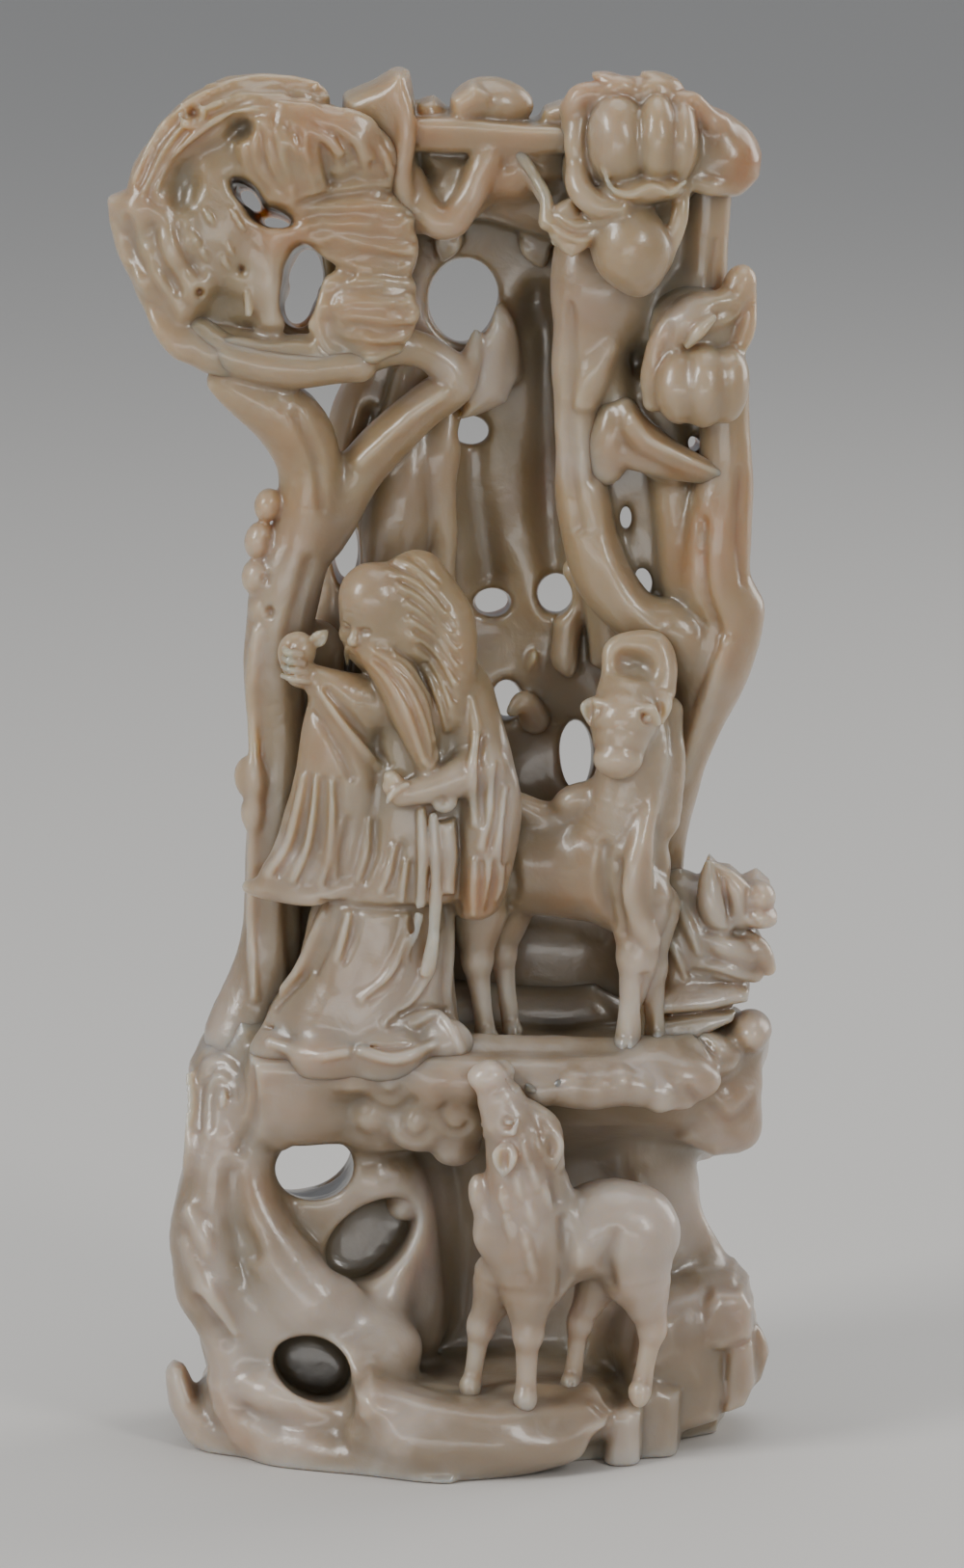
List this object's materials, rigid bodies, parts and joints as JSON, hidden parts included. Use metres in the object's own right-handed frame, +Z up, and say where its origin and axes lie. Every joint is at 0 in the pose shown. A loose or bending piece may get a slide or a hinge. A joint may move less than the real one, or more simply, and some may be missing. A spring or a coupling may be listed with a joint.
{
  "type": "jade boulder carving",
  "caption": "Upright openwork jade carving: an elder and deer on a pierced rock between a pine and a peach tree",
  "frame": {"origin": "on the ground, below the middle of the carving's outer box", "axes": "+Z up, -Y out of the carved front, +X to the right of someone facing the front"},
  "size_m": [0.0868, 0.051, 0.18],
  "materials": {
    "jade": "polished pale grey-green nephrite with warm brown skin left on the pine, the peaches and the trunks"
  },
  "bodies": {
    "root": {"jade_carving": "jade"}
  },
  "joints": []
}
